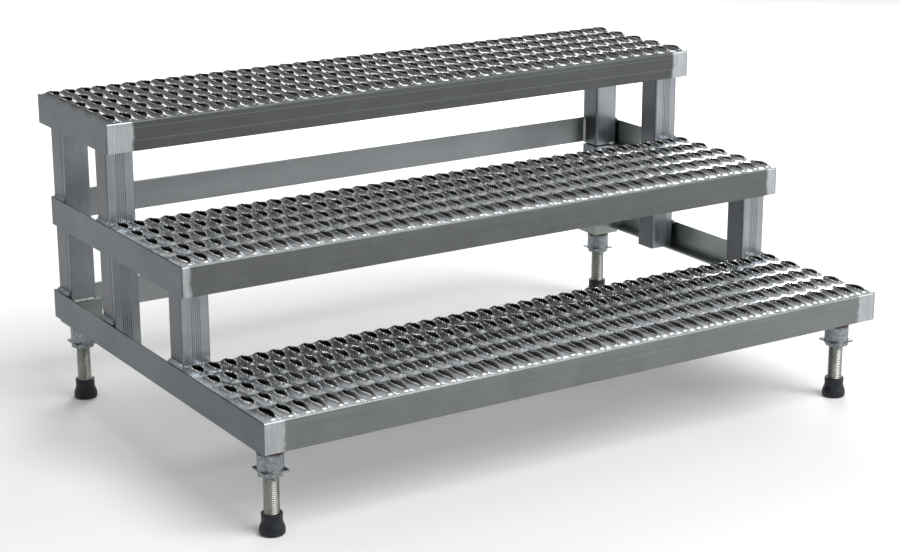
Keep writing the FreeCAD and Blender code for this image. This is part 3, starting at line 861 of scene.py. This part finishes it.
def build_edge_welds():
    """Beads from each post's outer face to the rail beside it: along its top, down its back end."""
    points, faces = [], []
    for level, posts in EDGE_WELDED_POSTS.items():
        for side, outward in SIDES.items():
            rail_low, rail_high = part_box(f"{level}_rail_{side}")
            for post in posts:
                low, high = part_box(f"{post}_{side}")
                face, edge = (low.x, rail_low.x) if outward < 0 else (high.x, rail_high.x)
                tip = edge - outward * EDGE_WELD_MARGIN
                foot = rail_high.z - EDGE_WELD_DROP
                ends = (low.y - EDGE_WELD_MARGIN, min(high.y, rail_high.y - EDGE_WELD_MARGIN))
                corners = [corner for y in ends for corner in
                           ((face, y, foot), (tip, y, foot), (face, y, foot + EDGE_WELD_RISE))]
                weld_bead(corners, points, faces)
            # The last post stands at the rail's back end, so its face and tip serve again.
            back = rail_high.y - EDGE_WELD_DROP
            ends = (rail_low.z + FLANGE_WALL, rail_high.z)
            corners = [corner for z in ends for corner in
                       ((face, back, z), (tip, back, z), (face, back + EDGE_WELD_RETURN, z))]
            weld_bead(corners, points, faces)
    piece = make_piece("rail_edge_welds", points, faces, EDGE_WELD)
    shade_by_angle(piece, 60)
    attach(piece, "frame")


build_welds()
build_edge_welds()


# ---- stage, light and camera ------------------------------------------------------


def build_floor():
    """A plain pale floor."""
    material = bpy.data.materials.new("floor_pale")
    material.use_nodes = True
    shader = material.node_tree.nodes["Principled BSDF"]
    shader.inputs["Base Color"].default_value = (0.93, 0.93, 0.93, 1.0)
    shader.inputs["Roughness"].default_value = 0.9
    mesh = bpy.data.meshes.new("floor")
    reach = FLOOR_REACH
    corners = [(-reach, -reach, 0), (reach, -reach, 0), (reach, reach, 0), (-reach, reach, 0)]
    mesh.from_pydata(corners, [], [(0, 1, 2, 3)])
    mesh.materials.append(material)
    floor = bpy.data.objects.new("floor", mesh)
    bpy.context.scene.collection.objects.link(floor)


def hang_light(name, place, kind, power, **settings):
    """A light aimed at the middle of the stand."""
    light = bpy.data.lights.new(name, kind)
    light.energy = power
    for key, value in settings.items():
        setattr(light, key, value)
    lamp = bpy.data.objects.new(name, light)
    lamp.location = place
    aim = Vector(AIM) - Vector(place)
    lamp.rotation_euler = aim.to_track_quat("-Z", "Y").to_euler()
    bpy.context.scene.collection.objects.link(lamp)


def build_world():
    """Even white light from all round."""
    world = bpy.data.worlds.new("studio")
    world.use_nodes = True
    background = world.node_tree.nodes["Background"]
    background.inputs["Color"].default_value = (1.0, 1.0, 1.0, 1.0)
    background.inputs["Strength"].default_value = WORLD_STRENGTH
    bpy.context.scene.world = world


def build_camera():
    """The photograph's viewpoint."""
    azimuth, down = math.radians(CAMERA_AZIMUTH), math.radians(CAMERA_DOWN)
    roll = math.radians(CAMERA_ROLL)
    forward = Vector((math.sin(azimuth) * math.cos(down), math.cos(azimuth) * math.cos(down),
                      -math.sin(down)))
    level = Vector((math.cos(azimuth), -math.sin(azimuth), 0.0))
    upright = level.cross(forward)
    right = level * math.cos(roll) + upright * math.sin(roll)
    above = right.cross(forward)
    camera = bpy.data.cameras.new("camera")
    camera.lens = CAMERA_LENS
    camera.sensor_width = CAMERA_SENSOR
    holder = bpy.data.objects.new("camera", camera)
    turn = Matrix((right, above, -forward)).transposed().to_4x4()
    holder.matrix_world = Matrix.Translation(CAMERA_PLACE) @ turn
    bpy.context.scene.collection.objects.link(holder)
    bpy.context.scene.camera = holder


build_floor()
build_world()
hang_light("key", (0.9, -2.2, 3.2), "SUN", 2.0, angle=math.radians(40))
hang_light("front_right", (2.2, -2.8, 1.3), "AREA", 30.0, shape="RECTANGLE", size=1.8, size_y=1.2)
hang_light("behind", (2.4, 2.9, 1.9), "AREA", 84.0, shape="RECTANGLE", size=2.6, size_y=1.2)
build_camera()
bpy.context.scene.view_settings.view_transform = "Standard"
